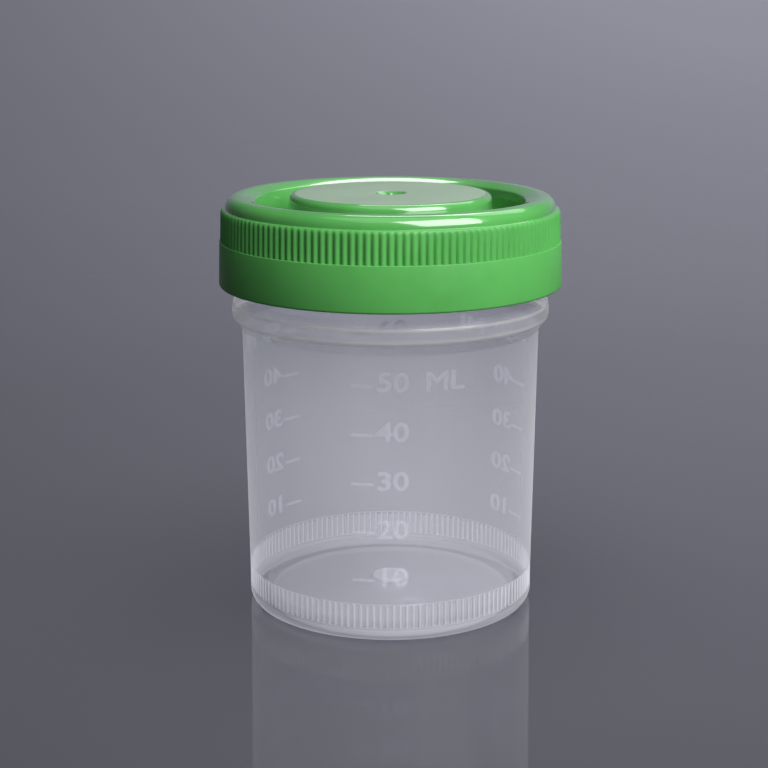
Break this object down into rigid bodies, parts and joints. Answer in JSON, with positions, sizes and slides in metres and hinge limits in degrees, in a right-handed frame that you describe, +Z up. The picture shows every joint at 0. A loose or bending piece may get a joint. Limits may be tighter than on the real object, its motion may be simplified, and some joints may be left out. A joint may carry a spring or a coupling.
{
  "type": "specimen container",
  "caption": "Translucent graduated specimen jar with a fluted heel and rounded collar, closed by a green ribbed screw lid whose recessed channel plugs the mouth.",
  "frame": {"origin": "centre of the foot ring, on the surface the jar stands on", "axes": "+Z up along the common axis of jar and lid; -Y is the side with the main scale"},
  "size_m": [0.0515, 0.0514, 0.063],
  "materials": {
    "translucent_polypropylene": "natural polypropylene, milky and translucent, satin moulded surface",
    "green_plastic": "opaque green moulded plastic, glossy, with a satin centre disc on top"
  },
  "bodies": {
    "jar": {"jar": "translucent_polypropylene"},
    "lid": {"lid": "green_plastic"}
  },
  "joints": [
    {"name": "lid_lift", "type": "slide", "parent": "jar", "child": "lid", "axis": [0, 0, 1], "range_m": [0, 0.03]}
  ]
}
